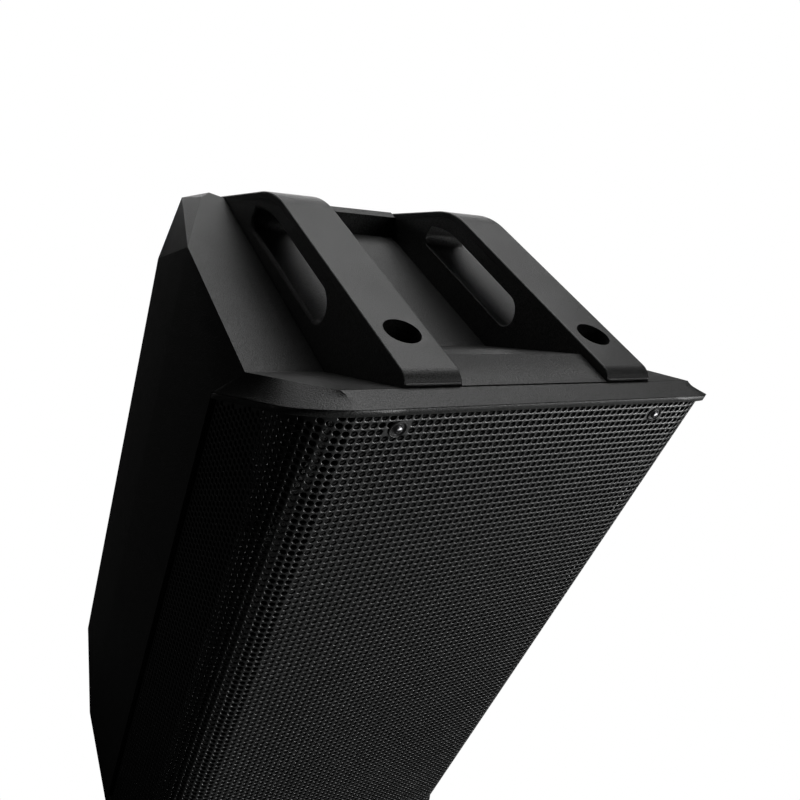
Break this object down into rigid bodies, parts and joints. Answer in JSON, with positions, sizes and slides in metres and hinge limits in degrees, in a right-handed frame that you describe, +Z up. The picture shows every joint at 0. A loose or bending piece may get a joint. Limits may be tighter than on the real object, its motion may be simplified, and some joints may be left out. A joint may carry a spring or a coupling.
{
  "type": "line array speaker",
  "caption": "Black arrayable speaker cabinet with a wrap-round perforated grille, tapered sides and two carrying handles across the top.",
  "frame": {"origin": "middle of the footprint, on the floor under the feet", "axes": "+X to the left seen from behind the cabinet and to the right seen from the front, -Y out of the grille, +Z up"},
  "size_m": [0.378, 0.378, 0.7],
  "materials": {
    "housing": "fine grained moulded black",
    "rim": "fine grained moulded black",
    "grip": "satin soft touch black",
    "grille": "black powder coat on perforated steel",
    "screws": "blackened, bright where worn",
    "foam": "black open foam",
    "baffle": "black painted board",
    "rubber": "matte",
    "cone": "treated paper",
    "cast_metal": "grey cast",
    "magnet": "ferrite",
    "coil": "copper wire",
    "panel": "black powder coat",
    "heatsink": "black anodised",
    "board": "solder mask",
    "plated": "zinc plated",
    "signal": "red",
    "controls": "black"
  },
  "bodies": {
    "cabinet": {"amp_chassis": "plated", "amp_panel": "panel", "amplifier_board": "board", "base_rim": "rim", "cabinet_housing": "housing", "foot_1": "rubber", "foot_2": "rubber", "foot_3": "rubber", "foot_4": "rubber", "front_baffle": "baffle", "grille": "grille", "grille_foam": "foam", "grille_screw_1": "screws", "grille_screw_2": "screws", "grille_screw_3": "screws", "grille_screw_4": "screws", "grip_cover_left": "grip", "grip_cover_right": "grip", "handle_left": "housing", "handle_right": "housing", "heatsink": "heatsink", "inner_brace": "baffle", "input_socket_a": "controls", "input_socket_b": "controls", "link_socket": "controls", "mains_inlet": "controls", "pole_socket": "controls", "power_supply_board": "board", "rigging_insert_left": "plated", "rigging_insert_right": "plated", "ring_transformer": "plated", "status_led": "signal", "switch_housing": "controls", "top_rim": "rim", "tweeter_1": "cast_metal", "tweeter_2": "cast_metal", "tweeter_3": "cast_metal", "tweeter_4": "cast_metal", "tweeter_5": "cast_metal", "waveguide": "panel", "woofer_basket": "cast_metal", "woofer_magnet": "magnet", "woofer_pole_piece": "cast_metal", "woofer_surround": "rubber"},
    "woofer_moving_parts": {"woofer_cone": "cone", "dust_cap": "controls", "voice_coil": "coil"},
    "level_knob_1": {"level_knob_1": "controls"},
    "level_knob_2": {"level_knob_2": "controls"},
    "level_knob_3": {"level_knob_3": "controls"},
    "mode_button": {"mode_button": "controls"},
    "power_switch": {"power_switch": "signal"}
  },
  "joints": [
    {"name": "woofer_stroke", "type": "slide", "parent": "cabinet", "child": "woofer_moving_parts", "axis": [0, -1, 0], "range_m": [-0.006, 0.006], "stiffness_N_per_m": 3000},
    {"name": "level_knob_1_turn", "type": "hinge", "parent": "cabinet", "child": "level_knob_1", "pos_m": [-0.08, 0.1731, 0.485], "axis": [0, 1, 0], "range_deg": [-140, 140]},
    {"name": "level_knob_2_turn", "type": "hinge", "parent": "cabinet", "child": "level_knob_2", "pos_m": [-0.045, 0.1731, 0.485], "axis": [0, 1, 0], "range_deg": [-140, 140]},
    {"name": "level_knob_3_turn", "type": "hinge", "parent": "cabinet", "child": "level_knob_3", "pos_m": [-0.01, 0.1731, 0.485], "axis": [0, 1, 0], "range_deg": [-140, 140]},
    {"name": "mode_button_press", "type": "slide", "parent": "cabinet", "child": "mode_button", "axis": [0, -1, 0], "range_m": [0, 0.0015], "stiffness_N_per_m": 800},
    {"name": "power_switch_rock", "type": "hinge", "parent": "cabinet", "child": "power_switch", "pos_m": [0.08, 0.1725, 0.475], "axis": [1, 0, 0], "range_deg": [-7, 7]}
  ]
}
